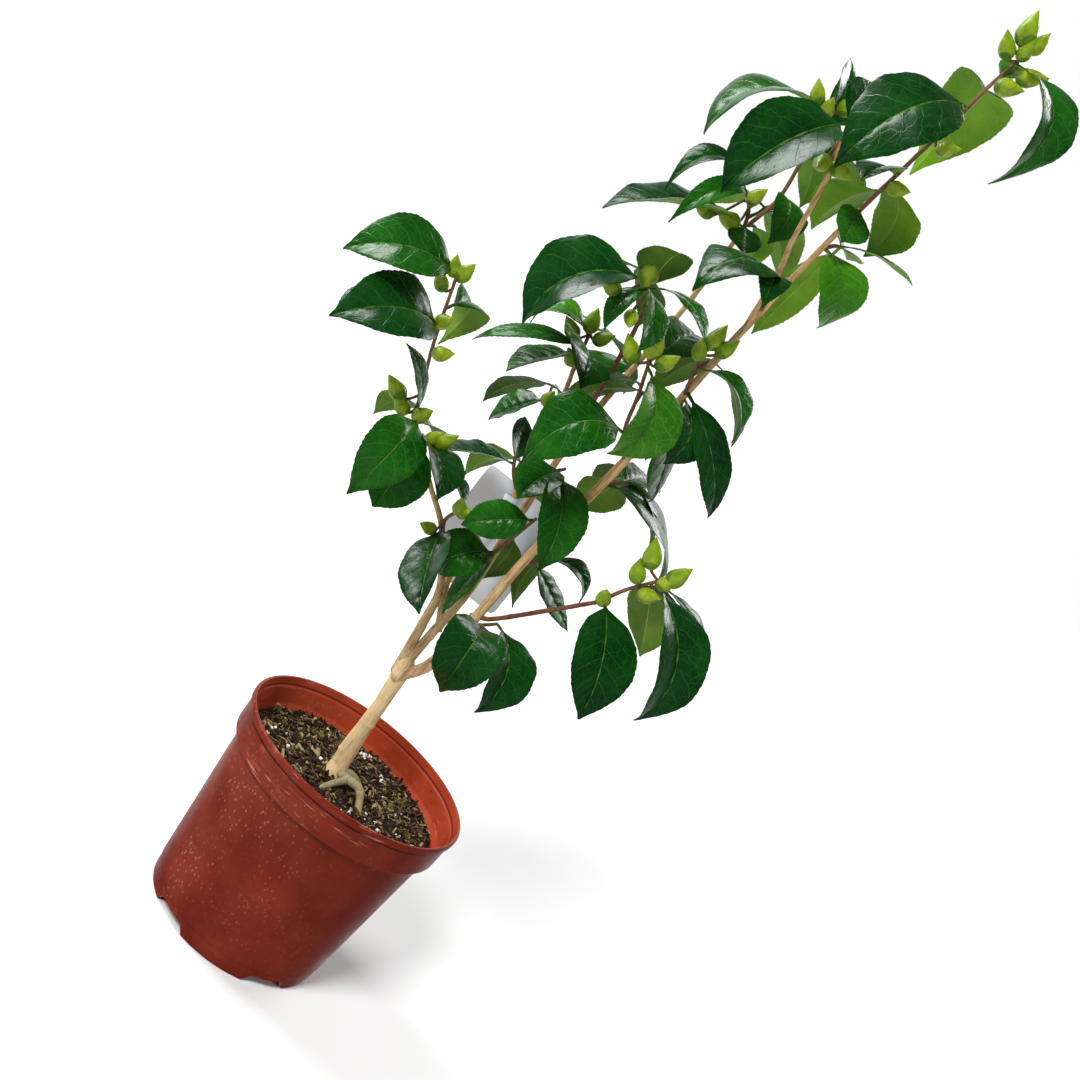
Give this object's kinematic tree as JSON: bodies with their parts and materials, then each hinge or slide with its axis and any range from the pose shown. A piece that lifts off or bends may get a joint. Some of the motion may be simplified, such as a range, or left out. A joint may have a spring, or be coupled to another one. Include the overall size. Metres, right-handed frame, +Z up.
{
  "type": "potted camellia shrub",
  "caption": "Young flowering evergreen shrub with glossy leaves and plump flower buds, growing in a round plastic nursery pot filled with soil; it stands on the pot's flat underside.",
  "frame": {"origin": "centre of the pot's flat underside", "axes": "+Z up along the pot's axis, +X to the viewer's right, +Y away from the viewer"},
  "size_m": [0.3702, 0.2526, 0.8632],
  "materials": {
    "pot": "terracotta-coloured plastic, satin, with pale specks",
    "soil": "damp potting compost, matt",
    "bark": "beige-brown bark, matt",
    "foliage": "glossy evergreen leaves",
    "label": "blank pale plastic card"
  },
  "bodies": {
    "root": {"pot": "pot", "soil": "soil", "trunk": "bark", "right_bough": "bark", "middle_bough": "bark", "left_bough": "bark", "back_bough": "bark", "inner_bough": "bark", "upper_bough": "bark", "low_bough": "bark", "foliage_left": "foliage", "foliage_low_left": "foliage", "foliage_low_middle": "foliage", "foliage_front": "foliage", "foliage_low_front": "foliage", "foliage_right": "foliage", "foliage_low_back": "foliage", "foliage_mid_back": "foliage", "foliage_middle": "foliage", "foliage_mid_right": "foliage", "foliage_inner_left": "foliage", "foliage_inner_low": "foliage", "foliage_inner_back": "foliage", "foliage_upper_left": "foliage", "foliage_upper_back": "foliage", "foliage_high_middle": "foliage", "foliage_high_front": "foliage", "foliage_top": "foliage", "foliage_upper_right": "foliage", "foliage_upper_front": "foliage", "plant_label": "label"}
  },
  "joints": []
}
